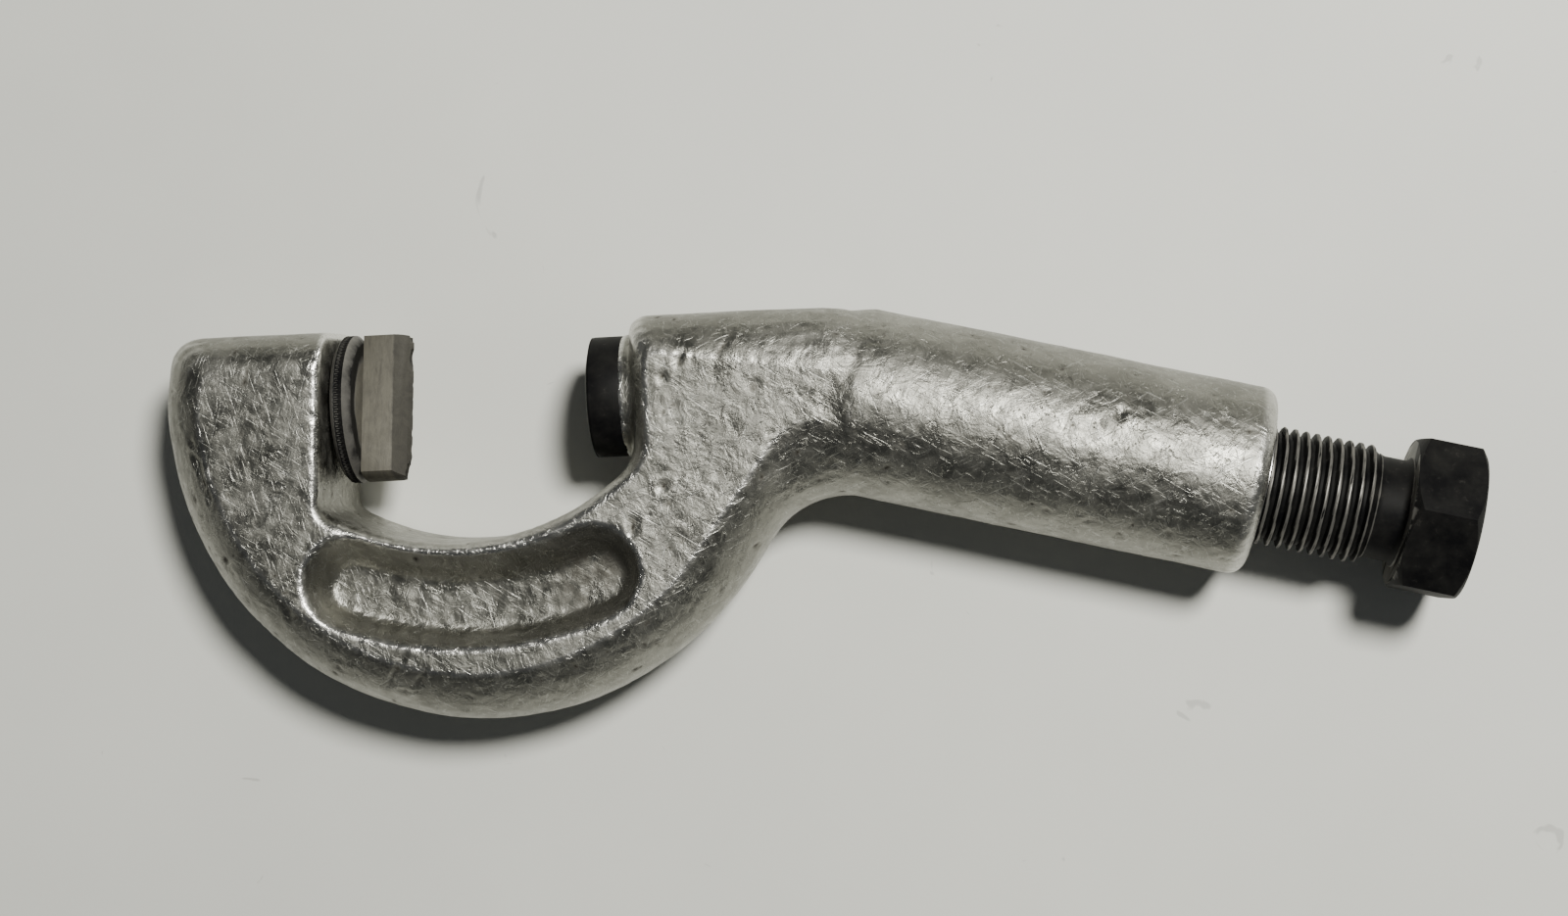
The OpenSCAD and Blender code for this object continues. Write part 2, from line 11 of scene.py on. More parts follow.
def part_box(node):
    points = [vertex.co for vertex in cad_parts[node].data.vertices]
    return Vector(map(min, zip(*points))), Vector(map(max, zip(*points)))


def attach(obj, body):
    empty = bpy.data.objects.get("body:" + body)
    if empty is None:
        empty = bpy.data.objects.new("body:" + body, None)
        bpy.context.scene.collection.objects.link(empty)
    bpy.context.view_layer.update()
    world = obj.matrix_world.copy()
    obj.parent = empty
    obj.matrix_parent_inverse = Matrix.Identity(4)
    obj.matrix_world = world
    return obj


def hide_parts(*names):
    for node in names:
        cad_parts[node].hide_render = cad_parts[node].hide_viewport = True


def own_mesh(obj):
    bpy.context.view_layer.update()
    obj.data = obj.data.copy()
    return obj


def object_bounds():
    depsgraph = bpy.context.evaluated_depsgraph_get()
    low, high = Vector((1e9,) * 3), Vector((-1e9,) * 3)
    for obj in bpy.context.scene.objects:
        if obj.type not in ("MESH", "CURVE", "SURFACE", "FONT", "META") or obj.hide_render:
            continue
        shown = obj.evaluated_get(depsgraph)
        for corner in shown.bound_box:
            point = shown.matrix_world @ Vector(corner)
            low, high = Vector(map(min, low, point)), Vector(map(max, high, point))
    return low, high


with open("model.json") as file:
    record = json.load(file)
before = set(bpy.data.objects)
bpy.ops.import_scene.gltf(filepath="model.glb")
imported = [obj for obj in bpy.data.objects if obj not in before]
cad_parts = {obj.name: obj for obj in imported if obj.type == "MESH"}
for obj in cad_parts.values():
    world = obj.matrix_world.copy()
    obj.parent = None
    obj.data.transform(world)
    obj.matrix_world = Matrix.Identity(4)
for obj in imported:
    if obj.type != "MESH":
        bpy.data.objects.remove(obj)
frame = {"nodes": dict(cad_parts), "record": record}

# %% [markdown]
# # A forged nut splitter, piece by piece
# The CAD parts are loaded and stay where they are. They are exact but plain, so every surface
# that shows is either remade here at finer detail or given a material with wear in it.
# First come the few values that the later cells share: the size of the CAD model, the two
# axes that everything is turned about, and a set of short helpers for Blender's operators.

cad_low, cad_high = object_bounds()
MM = 0.001
joints = {j["name"]: j for j in frame["record"]["behaviour"]["joints"]}
handle_dir = -Vector(joints["screw_turn"]["axis"]).normalized()
on_handle_axis = Vector(joints["screw_turn"]["pos_m"])
# The handle's axis meets the jaw axis, where y and z are 0.
elbow = on_handle_axis - handle_dir * (on_handle_axis.y / handle_dir.y)
jaw_dir = Vector((1, 0, 0))
print("elbow at", [round(v / MM, 2) for v in elbow], "mm, handle", handle_dir)


def along_handle(point):
    """How far a point lies along the handle's axis from the elbow."""
    return (Vector(point) - elbow).dot(handle_dir)


def span_on_handle(node):
    """The first and last place of a CAD node's points along the handle's axis."""
    spots = [along_handle(v.co) for v in frame["nodes"][node].data.vertices]
    return min(spots), max(spots)


def radius_on(node, origin, direction):
    """The largest distance of a CAD node's points from an axis."""
    return max(
        ((v.co - origin) - direction * (v.co - origin).dot(direction)).length
        for v in frame["nodes"][node].data.vertices
    )


def radius_between(node, origin, direction, first, last):
    """The largest distance from an axis, over a CAD node's points in one stretch of it."""
    found = 0.0
    for v in frame["nodes"][node].data.vertices:
        arm = v.co - origin
        place = arm.dot(direction)
        if first <= place <= last:
            found = max(found, (arm - direction * place).length)
    return found


# %% [markdown]
# ## Short helpers
# Blender's operators act on what is selected and active. Each helper selects its own
# objects first, so that the later cells never depend on what an earlier one left behind.

# %% Operator helpers
def only(*objects):
    """Deselects everything, then selects these objects and makes the first one active."""
    bpy.ops.object.select_all(action="DESELECT")
    for o in objects:
        o.select_set(True)
    bpy.context.view_layer.objects.active = objects[0]


def apply_modifier(obj, kind, **settings):
    """Adds a modifier with these settings and applies it at once."""
    modifier = obj.modifiers.new(kind.lower(), kind)
    for key, value in settings.items():
        setattr(modifier, key, value)
    only(obj)
    bpy.ops.object.modifier_apply(modifier=modifier.name)


def settle(obj, name):
    """Puts a piece's place into its mesh, so that its object is at the origin and unturned."""
    only(obj)
    bpy.ops.object.transform_apply(location=True, rotation=True, scale=True)
    obj.name = name
    obj.data.name = name
    return obj


def bar(start, end, radius, sides=96, name="bar"):
    """A closed round bar from one point to another."""
    bpy.ops.object.select_all(action="DESELECT")
    start, end = Vector(start), Vector(end)
    bpy.ops.mesh.primitive_cylinder_add(
        vertices=sides, radius=radius, depth=(end - start).length, location=(start + end) / 2
    )
    made = bpy.context.active_object
    made.rotation_mode = "QUATERNION"
    made.rotation_quaternion = (end - start).to_track_quat("Z", "Y")
    return settle(made, name)


def cad_copy(node, name):
    """A copy of a CAD node with its loose triangles merged into one skin."""
    made = bpy.data.objects.new(name, frame["nodes"][node].data.copy())
    bpy.context.scene.collection.objects.link(made)
    made.data.materials.clear()
    only(made)
    bpy.ops.object.mode_set(mode="EDIT")
    bpy.ops.mesh.select_all(action="SELECT")
    bpy.ops.mesh.remove_doubles(threshold=0.002 * MM)
    bpy.ops.object.mode_set(mode="OBJECT")
    return made


def drop(obj):
    """Deletes an object and its mesh."""
    mesh = obj.data
    bpy.data.objects.remove(obj)
    bpy.data.meshes.remove(mesh)


def triangles(obj):
    """How many triangles an object's faces make."""
    return sum(len(p.vertices) - 2 for p in obj.data.polygons)


# %% [markdown]
# ## Camera
# The tool lies on its side on a pale tabletop, seen from almost straight above. The camera
# stands a little under half a metre up and to the right of the jaw, so the faces that look
# right show a little. It is placed first, so that each later step can be rendered as it is
# made.

# %% Camera
CAMERA_SPOT = Vector((77, -8, 464)) * MM
CAMERA_AIM = Vector((34.8, -13, 0)) * MM
CAMERA_ROLL = math.radians(2.7)
SENSOR_WIDTH = 36
LENS = 57.4

bpy.ops.object.select_all(action="DESELECT")
bpy.ops.object.camera_add(location=CAMERA_SPOT)
camera = bpy.context.active_object
look = (CAMERA_AIM - CAMERA_SPOT).normalized()
right = Vector((math.cos(CAMERA_ROLL), -math.sin(CAMERA_ROLL), 0))
right = (right - look * right.dot(look)).normalized()
up = right.cross(look)
camera.rotation_mode = "QUATERNION"
camera.rotation_quaternion = Matrix((right, up, -look)).transposed().to_quaternion()
camera.data.sensor_width = SENSOR_WIDTH
camera.data.lens = LENS
camera.data.clip_start, camera.data.clip_end = 0.01, 10
bpy.context.scene.camera = camera
print("camera", [round(v, 3) for v in camera.location])

# %% [markdown]
# ## Tabletop and light
# The tabletop is a plain square at the tool's lowest point. One warm lamp stands high behind
# the handle's end and throws the short soft shadow. A faint grey room fills the rest.

# %% Floor
FLOOR_SIZE = 3.0
bpy.ops.object.select_all(action="DESELECT")
bpy.ops.mesh.primitive_plane_add(size=FLOOR_SIZE, location=(0.03, 0, cad_low[2]))
floor = settle(bpy.context.active_object, "tabletop")

# %% Light
LAMP_SPOT = (0.40, 0.32, 0.95)
LAMP_AIM = (0.03, -0.01, 0)
LAMP_COLOUR = (1.0, 0.99, 0.93)
ROOM_COLOUR = (0.80, 0.84, 0.86, 1)
ROOM_STRENGTH = 0.075


def area_light(name, place, aim, size, power, colour):
    """A round lamp at a place, turned towards what it lights."""
    bpy.ops.object.select_all(action="DESELECT")
    bpy.ops.object.light_add(type="AREA", location=place)
    light = bpy.context.active_object
    light.name = name
    light.data.shape = "DISK"
    light.data.size = size
    light.data.energy = power
    light.data.color = colour
    light.rotation_mode = "QUATERNION"
    light.rotation_quaternion = (Vector(aim) - Vector(place)).to_track_quat("-Z", "Y")
    return light


area_light("ceiling_lamp", LAMP_SPOT, LAMP_AIM, 0.22, 17.5, LAMP_COLOUR)
world = bpy.data.worlds.new("room")
bpy.context.scene.world = world
world.use_nodes = True
background = world.node_tree.nodes["Background"]
background.inputs["Color"].default_value = ROOM_COLOUR
background.inputs["Strength"].default_value = ROOM_STRENGTH

# %% [markdown]
# ## Bores of the forging
# The real body is hammered to shape hot and bored afterwards, so its skin is soft and its
# bores are crisp. The model is made in the same order: the bores of the CAD copy are plugged,
# the skin is remade, and then the bores are cut again. Each bore is kept as a start, an end
# and a radius, read from the CAD parts that sit in it.

# %% Bore list
lowest = {name: Vector(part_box(name)[0]) for name in frame["nodes"]}
highest = {name: Vector(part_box(name)[1]) for name in frame["nodes"]}
GLAND_DEPTH = 6.4 * MM
COLLAR_GAP = 0.3 * MM
head_face = highest["gland_nut"].x - GLAND_DEPTH
chisel_face = lowest["chisel_collar"].x - COLLAR_GAP


def on_jaw(x):
    """A point on the jaw's axis."""
    return Vector((x, 0, 0))


def on_handle(s):
    """A point on the handle's axis, this far from the elbow."""
    return elbow + handle_dir * s


SLIP = 0.03 * MM
bush_start, handle_end = span_on_handle("thread_bush")
plunger_start, plunger_end = span_on_handle("pump_plunger")
screw_start, screw_stop = span_on_handle("pressure_screw")
bush_radius = radius_on("thread_bush", elbow, handle_dir)
plunger_radius = radius_between(
    "pump_plunger", elbow, handle_dir, plunger_start, plunger_start + 6 * MM
)
flange_radius = radius_on("pump_plunger", elbow, handle_dir)
piston_radius = radius_on("ram_piston", on_jaw(0), jaw_dir)
gland_radius = radius_on("gland_nut", on_jaw(0), jaw_dir)
shank_radius = radius_between(
    "chisel", on_jaw(0), jaw_dir, lowest["chisel"].x, lowest["chisel"].x + 6 * MM
)
shoulder_radius = radius_between(
    "chisel", on_jaw(0), jaw_dir, chisel_face - 3.3 * MM, chisel_face - 2.9 * MM
)
print("bush", bush_start / MM, handle_end / MM, bush_radius / MM, "plunger", plunger_start / MM,
      plunger_end / MM, plunger_radius / MM, flange_radius / MM)
print("piston", piston_radius / MM, "gland", gland_radius / MM,
      "shank", shank_radius / MM, shoulder_radius / MM)
print("faces", head_face / MM, chisel_face / MM)

# %% [markdown]
# ## The forging's skin
# A drop forging has no sharp outside edge and no true plane: it is a lump pressed between two
# dies, trimmed, and then knocked about for years. Editing that by hand would take thousands of
# moves. A voxel remesh turns the CAD copy, with its bores plugged, into an even skin of small
# quads, which is then smoothed and hammered.

# %% Plug the bores and remesh
BORES = {
    "ram cylinder": (on_jaw(highest["gland_nut"].x - 1 * MM),
                     on_jaw(highest["ram_piston"].x + 2.5 * MM), piston_radius + 0.1 * MM),
    "gland seat": (on_jaw(head_face - 2 * MM), on_jaw(highest["gland_nut"].x), gland_radius + SLIP),
    "shank": (on_jaw(lowest["chisel"].x - 1 * MM), on_jaw(chisel_face + 2 * MM),
              shank_radius + SLIP),
    "shoulder": (on_jaw(chisel_face - 3.1 * MM), on_jaw(chisel_face + 2 * MM),
                 shoulder_radius + SLIP),
    "pump": (on_handle(4 * MM), on_handle(plunger_end), plunger_radius + SLIP),
    "flange chamber": (on_handle(plunger_end - 30 * MM), on_handle(bush_start + 1 * MM),
                       flange_radius + 0.5 * MM),
    "bush seat": (on_handle(bush_start), on_handle(handle_end + 1 * MM), bush_radius + SLIP),
}
for node in ("filler_plug", "bush_lock_screw", "detent_plug"):
    middle = (lowest[node] + highest[node]) / 2
    side = 1 if middle.z > 0 else -1
    deep = lowest[node].z if side > 0 else highest[node].z
    BORES[node] = (
        Vector((middle.x, middle.y, deep)),
        Vector((middle.x, middle.y, side * 19 * MM)),
        (highest[node].x - lowest[node].x) / 2 + SLIP,
    )
print({name: round((b[1] - b[0]).length / MM, 1) for name, b in BORES.items()})

skin = cad_copy("frame_casting", "forged_frame")
plugs = []
for start, end, radius in BORES.values():
    inward = (start - end).normalized()
    plugs.append(
        bar(start + inward * 0.5 * MM, end + inward * 2.2 * MM, radius + 0.5 * MM, 48, "plug")
    )
only(skin, *plugs)
bpy.ops.object.join()
VOXEL = 0.66 * MM
apply_modifier(skin, "REMESH", mode="VOXEL", voxel_size=VOXEL)
apply_modifier(skin, "SMOOTH", factor=0.5, iterations=3)
print("skin:", triangles(skin), "triangles")

# %% [markdown]
# ## Hammer marks, dents and gouges
# The dies leave a gentle waviness, and use leaves dents: small oval craters, each with a
# raised lip where the metal flowed. Sculpting needs a window, so the points are moved in code.
# Noise gives the waviness. Each dent is a place, a direction, two half-widths and a depth, and
# a tree of the points finds those near it. The largest few are listed one by one where this tool is
# worn most: along the rim that rests on the bench, and round the heads.

# %% Wave and dent the skin
random.seed(52)
points = skin.data.vertices
normals = [v.normal.copy() for v in points]
places = [v.co.copy() for v in points]
tree = KDTree(len(places))
for i, p in enumerate(places):
    tree.insert(p, i)
tree.balance()
shift = [0.0] * len(places)
wear = [0.0] * len(places)

# How sharply the skin bends at each point, from the way its normals fan out along each edge.
bends = [0.0] * len(places)
shares = [0] * len(places)
for edge in skin.data.edges:
    a, b = edge.vertices
    arm = places[b] - places[a]
    bend = (normals[b] - normals[a]).dot(arm) / max(arm.length_squared, 1e-12) * MM
    for i in (a, b):
        bends[i] += bend
        shares[i] += 1
bends = [total / max(count, 1) for total, count in zip(bends, shares)]
# How convex each point is sets where the creases get their polish and their painted highlight.
CREASE_HIGHLIGHT_FROM, CREASE_HIGHLIGHT_SPAN = 0.09, 0.16
crease_polish_and_highlight = [min(1.0, max(0.0, (bend - CREASE_HIGHLIGHT_FROM) / CREASE_HIGHLIGHT_SPAN)) for bend in bends]
print("rubbed points:", sum(1 for r in crease_polish_and_highlight if r > 0.5))

POCKET_FLOOR = 10.6 * MM
for i, p in enumerate(places):
    broad = noise.noise(p * 75) * 0.16 + noise.noise(p * 210 + Vector((3, 1, 7))) * 0.055
    shift[i] = (broad - 0.14) * MM
    if abs(p.z) < POCKET_FLOOR and abs(normals[i].z) > 0.8 and p.y < -24 * MM:
        shift[i] += noise.noise(p * 620) * 0.17 * MM


def dent(place, facing, angle, long, wide, depth):
    """Presses an oval dent, with a lip round it, into the skin near a place."""
    along = facing.orthogonal().normalized()
    along.rotate(Matrix.Rotation(angle, 3, facing))
    across = facing.cross(along)
    for co, i, gap in tree.find_range(place, long * 2.1):
        if normals[i].dot(facing) < 0.3:
            continue
        arm = co - place
        reach = math.hypot(arm.dot(along) / long, arm.dot(across) / wide)
        pit = math.exp(-2.2 * reach * reach)
        lip = 0.28 * math.exp(-9 * (reach - 1.25) ** 2)
        shift[i] += depth * (lip - pit)
        wear[i] = max(wear[i], pit)


SMALL_DENTS = 620
for n in range(SMALL_DENTS):
    i = random.randrange(len(places))
    long = random.uniform(0.8, 2.2) * MM
    dent(places[i], normals[i], random.uniform(0, math.pi), long,
         long * random.uniform(0.35, 0.8), random.uniform(0.05, 0.2) * MM)

# x, y and side of the marks that stand out, then half-widths, depth and direction
MARKS = [
    (-74, -9, 1, 2.6, 1.1, 0.55, 80), (-73, -12.5, 1, 1.8, 0.9, 0.5, 60),
    (-75, -5.5, 1, 1.6, 0.7, 0.4, 100), (-71.5, -16, 1, 1.5, 0.8, 0.4, 40),
    (-38, -51, 1, 5.5, 0.9, 0.6, 8), (-33, -52, 1, 3.0, 0.8, 0.45, 4),
    (18, 6, 1, 1.8, 1.0, 0.4, 20), (15, 3, 1, 1.4, 0.9, 0.35, 70),
    (26, 9, 1, 4.5, 0.6, 0.25, 10), (20, 12, 1, 3.8, 0.5, 0.25, 15),
    (97, -7, 1, 1.9, 1.1, 0.5, 30), (-62, 8, 1, 1.5, 0.8, 0.3, 50),
    (14, -17, 1, 1.7, 1.2, 0.5, 0), (8, -24, 1, 2.6, 1.2, 0.45, 30),
]
for x, y, side, long, wide, depth, turn in MARKS:
    place, i, gap = tree.find(Vector((x, y, side * 18)) * MM)
    dent(place, normals[i], math.radians(turn), long * MM, wide * MM, depth * MM)

for i, v in enumerate(points):
    v.co = places[i] + normals[i] * shift[i]
worn = skin.data.attributes.new("wear", "FLOAT", "POINT")
worn.data.foreach_set("value", wear)
# This layer carries the crease polish and the painted highlight into the aluminium finish.
crease_polish_and_highlight_layer = skin.data.attributes.new("crease_polish_and_highlight", "FLOAT", "POINT")
crease_polish_and_highlight_layer.data.foreach_set("value", crease_polish_and_highlight)
print("moved in by up to", round(-min(shift) / MM, 2), "mm, out by", round(max(shift) / MM, 2))

# %% [markdown]
# ## Cutting the bores
# A Boolean difference with one bar for each bore gives the crisp edge that a drill leaves.
# The bars are cut one after another, so that none of them has to overlap another.

# %% Cut the bores
for name, (start, end, radius) in BORES.items():
    cutter = bar(start, end, radius, 96, "cutter")
    apply_modifier(skin, "BOOLEAN", object=cutter, operation="DIFFERENCE", solver="MANIFOLD")
    drop(cutter)
only(skin)
bpy.ops.object.shade_smooth_by_angle(angle=math.radians(40))
print("forged frame:", triangles(skin), "triangles, attributes",
      [a.name for a in skin.data.attributes])
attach(skin, "frame")
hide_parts("frame_casting")

# %% [markdown]
# ## The pressure screw
# The thread is M22 x 2: a 60 degree groove that climbs 2 mm in each turn. A screw modifier
# could sweep one tooth round, but its ends would stop dead. Here a round bar is divided into
# thin rings, and each point is moved in to the depth that the groove has at its place and
# angle, so that the groove fades out at the neck as a die leaves it.

# %% Selecting by place
def choose(obj, kind, test):
    """In edit mode, selects the edges or faces whose middle and direction pass a test."""
    only(obj)
    bpy.ops.object.mode_set(mode="EDIT")
    bpy.ops.mesh.select_mode(type=kind)
    bpy.ops.mesh.select_all(action="DESELECT")
    shape = bmesh.from_edit_mesh(obj.data)
    count = 0
    for part in shape.faces if kind == "FACE" else shape.edges:
        middle = sum((v.co for v in part.verts), Vector()) / len(part.verts)
        way = part.normal if kind == "FACE" else (part.verts[1].co - part.verts[0].co).normalized()
        if test(middle, way):
            part.select_set(True)
            count += 1
    bmesh.update_edit_mesh(obj.data)
    return count


def leave_edit():
    """Goes back to object mode."""
    bpy.ops.object.mode_set(mode="OBJECT")


def rings_between(obj, direction, cuts):
    """Divides the edges that run along a direction, so that a bar gets this many more rings."""
    choose(obj, "EDGE", lambda middle, way: abs(way.dot(direction)) > 0.99)
    bpy.ops.mesh.subdivide(number_cuts=cuts)
    leave_edit()


def polar_on(origin, direction, point):
    """A point's place along an axis, its distance from it, and its angle round it."""
    arm = point - origin
    along = arm.dot(direction)
    out = arm - direction * along
    side = direction.orthogonal().normalized()
    return along, out, math.atan2(out.dot(direction.cross(side)), out.dot(side))


# %% Cut the thread
PITCH = 2 * MM
DEPTH = 1.2 * MM
NECK_RADIUS = 9.4 * MM
hex_start = min(
    along_handle(v.co) for v in frame["nodes"]["pressure_screw"].data.vertices
    if polar_on(elbow, handle_dir, v.co)[1].length > 12 * MM
)
neck_length = 6 * MM
thread_stop = hex_start - neck_length
thread_radius = radius_between(
    "pressure_screw", elbow, handle_dir, handle_end, handle_end + 12 * MM
)
thread_from = handle_end - 4 * MM
thread = bar(on_handle(thread_from), on_handle(thread_stop), thread_radius, 96, "thread")
RINGS_PER_TURN = 15
rings_between(thread, handle_dir, int((thread_stop - thread_from) / PITCH * RINGS_PER_TURN))
random.seed(7)
for v in thread.data.vertices:
    along, out, angle = polar_on(elbow, handle_dir, v.co)
    turn = along / PITCH - angle / math.tau
    off_groove = abs((turn % 1) - 0.5) * 2
    groove = min(1, max(0, (0.84 - off_groove) / 0.62))
    groove = groove * groove * (3 - 2 * groove)
    fade = min(1, max(0, (thread_stop - along) / (1.3 * MM)))
    run_in = min(1, max(0, (along - thread_from) / (2 * MM)))
    nick = max(0, noise.noise(v.co * 900) - 0.35) * 0.35 * MM * (1 - groove)
    radius = thread_radius - DEPTH * groove * run_in * fade - nick
    radius -= (1 - fade) ** 2 * (thread_radius - NECK_RADIUS)
    v.co += out.normalized() * (radius - out.length)
print("thread:", triangles(thread), "triangles,",
      round((thread_stop - thread_from) / PITCH, 1), "turns")

# %% [markdown]
# The neck behind the head is turned down a little below the thread's root and flows into it
# with a small fillet. The nose that pushes the plunger is plain, with a seat for its ring.

# %% Neck, core and nose
plunger_side, ring_side = span_on_handle("screw_stop_ring")
ring_bore = min(
    polar_on(elbow, handle_dir, v.co)[1].length
    for v in frame["nodes"]["screw_stop_ring"].data.vertices
)
NOSE_RADIUS = 9.5 * MM
neck = bar(
    on_handle(thread_stop - 1.2 * MM), on_handle(hex_start + 0.4 * MM), NECK_RADIUS, 96, "neck"
)
rings_between(neck, handle_dir, 15)
for v in neck.data.vertices:
    along, out, angle = polar_on(elbow, handle_dir, v.co)
    to_head = max(0, 1 - (hex_start - along) / (1.2 * MM))
    to_thread = max(0, 1 - (along - thread_stop) / (1.2 * MM)) if along > thread_stop else 0
    flare = 0.9 * MM * min(1, to_head) ** 2 + 0.5 * MM * to_thread ** 2
    v.co += out.normalized() * flare
core = [
    bar(on_handle(screw_start), on_handle(plunger_side), NOSE_RADIUS, 64, "nose"),
    bar(on_handle(plunger_side - 0.1 * MM), on_handle(ring_side + 0.1 * MM),
        ring_bore, 64, "ring_seat"),
    bar(on_handle(ring_side), on_handle(ring_side + 1.2 * MM), NOSE_RADIUS, 64, "land"),
    bar(on_handle(ring_side + 1.2 * MM), on_handle(thread_from + 0.1 * MM),
        thread_radius - 0.1 * MM, 96, "shank"),
]
for piece in core:
    choose(piece, "EDGE", lambda middle, way: abs(way.dot(handle_dir)) < 0.1)
    bpy.ops.mesh.bevel(offset=0.25 * MM, segments=2, affect="EDGES")
    leave_edit()
print("nose from", round(screw_start / MM, 1), "to", round(thread_from / MM, 1))

# %% [markdown]
# A hexagon head is a six-sided bar that was chamfered on a lathe, so each corner ends in a
# curve. The same two shapes are made here, a six-sided bar and a turned body with chamfered
# ends, and what they share is kept. A narrow bevel rounds the corners that wrenches have worn.

# %% The hexagon
corner_radius = radius_on("pressure_screw", elbow, handle_dir)
hexagon = bar(on_handle(hex_start), on_handle(screw_stop), corner_radius, 6, "hexagon")
wanted = [
    polar_on(elbow, handle_dir, v.co)[2] for v in frame["nodes"]["pressure_screw"].data.vertices
    if polar_on(elbow, handle_dir, v.co)[1].length > corner_radius - 0.01 * MM
][0]
turn_by = wanted - polar_on(elbow, handle_dir, hexagon.data.vertices[0].co)[2]
turning = Matrix.Rotation(turn_by, 4, handle_dir)
spin = Matrix.Translation(elbow) @ turning @ Matrix.Translation(-elbow)
hexagon.data.transform(spin)

CHAMFER = 1.6 * MM
FACE_SHARE = 0.853
turned = bar(on_handle(hex_start + CHAMFER), on_handle(screw_stop - CHAMFER),
             corner_radius + 0.05 * MM, 128, "turned")
for way, middle in ((handle_dir, screw_stop), (-handle_dir, hex_start)):
    choose(turned, "FACE", lambda place, normal: normal.dot(way) > 0.9)
    bpy.ops.mesh.extrude_region_move(TRANSFORM_OT_translate={"value": way * CHAMFER})
    bpy.ops.transform.resize(value=(FACE_SHARE,) * 3, center_override=on_handle(middle))
    leave_edit()
apply_modifier(hexagon, "BOOLEAN", object=turned, operation="INTERSECT", solver="MANIFOLD")
drop(turned)
apply_modifier(hexagon, "BEVEL", width=0.28 * MM, segments=3, limit_method="ANGLE",
               angle_limit=math.radians(20))

only(thread, neck, hexagon, *core)
bpy.ops.object.join()
screw = settle(thread, "pressure_screw_cut")
only(screw)
bpy.ops.object.shade_smooth_by_angle(angle=math.radians(32))
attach(screw, "screw")
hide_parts("pressure_screw")
print("pressure screw:", triangles(screw), "triangles")

# %% [markdown]
# ## The chisel's collar
# The collar is gripped by the fingers to turn the chisel, so its rim is knurled: two sets of
# fine grooves roll across each other. A bar with narrow facets is divided into rings, its two
# edges are chamfered, and the points between the chamfers are pushed in where a groove runs.

# %% Knurl the collar
collar_start, collar_stop = lowest["chisel_collar"].x, highest["chisel_collar"].x
collar_radius = radius_on("chisel_collar", on_jaw(0), jaw_dir)
KNURLS = 96
BACK_CHAMFER, FRONT_CHAMFER = 0.7 * MM, 1.3 * MM
KNURL_DEPTH = 0.16 * MM
knurled_from, knurled_to = collar_start + BACK_CHAMFER, collar_stop - FRONT_CHAMFER
collar = bar(on_jaw(knurled_from), on_jaw(knurled_to), collar_radius, KNURLS * 4, "collar")
rings_between(collar, jaw_dir, 15)
for way, length, share in ((jaw_dir, FRONT_CHAMFER, 0.885), (-jaw_dir, BACK_CHAMFER, 0.95)):
    choose(collar, "FACE", lambda place, normal: normal.dot(way) > 0.9)
    bpy.ops.mesh.extrude_region_move(TRANSFORM_OT_translate={"value": way * length})
    end = on_jaw(collar_stop if way.x > 0 else collar_start)
    bpy.ops.transform.resize(value=(share,) * 3, center_override=end)
    bpy.ops.mesh.inset(thickness=0.25 * MM)
    leave_edit()
for v in collar.data.vertices:
    along, out, angle = polar_on(on_jaw(0), jaw_dir, v.co)
    if knurled_from - 0.01 * MM <= along <= knurled_to + 0.01 * MM:
        lean = (along - knurled_from) / (2.4 * MM)
        cut = max(
            abs(math.cos((angle * KNURLS / 2) + lean * math.pi)),
            abs(math.cos((angle * KNURLS / 2) - lean * math.pi)),
        )
        edge = min(along - knurled_from, knurled_to - along) / (0.3 * MM)
        v.co -= out.normalized() * KNURL_DEPTH * cut ** 6 * min(1, max(0, edge))
# The bore that sits on the chisel's core.
core_radius = min(
    polar_on(on_jaw(0), jaw_dir, v.co)[1].length
    for v in frame["nodes"]["chisel_collar"].data.vertices
)
hole = bar(on_jaw(collar_start - 1 * MM), on_jaw(collar_stop + 1 * MM), core_radius, 96, "hole")
apply_modifier(collar, "BOOLEAN", object=hole, operation="DIFFERENCE", solver="MANIFOLD")
drop(hole)
settle(collar, "knurled_collar")
only(collar)
bpy.ops.object.shade_smooth_by_angle(angle=math.radians(28))
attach(collar, "chisel")
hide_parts("chisel_collar")
print("collar:", triangles(collar), "triangles")

# %% [markdown]
# ## The chisel
# The blade starts as the CAD chisel, whose edges are perfect. A real one has been pressed
# through hundreds of nuts: its cutting edge has bites out of it and one corner is broken off.
# Small rough lumps are cut away from the edge, and a narrow bevel takes the sharpness off the
# rest. The lumps are balls whose points were shaken by noise.

# %% Chip the chisel
blade = cad_copy("chisel", "chisel_ground")
only(blade)
bpy.ops.object.mode_set(mode="EDIT")
bpy.ops.mesh.select_all(action="SELECT")
bpy.ops.mesh.dissolve_limited(angle_limit=math.radians(1))
leave_edit()
edge_x = highest["chisel"].x
tilt = [m for m in frame["nodes"]["chisel"].data.vertices if m.co.x > edge_x - 0.02 * MM]
tip = max(tilt, key=lambda v: v.co.y).co
lean = math.atan2(tip.z, tip.y)
edge_way = Vector((0, math.cos(lean), math.sin(lean)))
print("edge from", edge_x / MM, "leans", round(math.degrees(lean), 1))
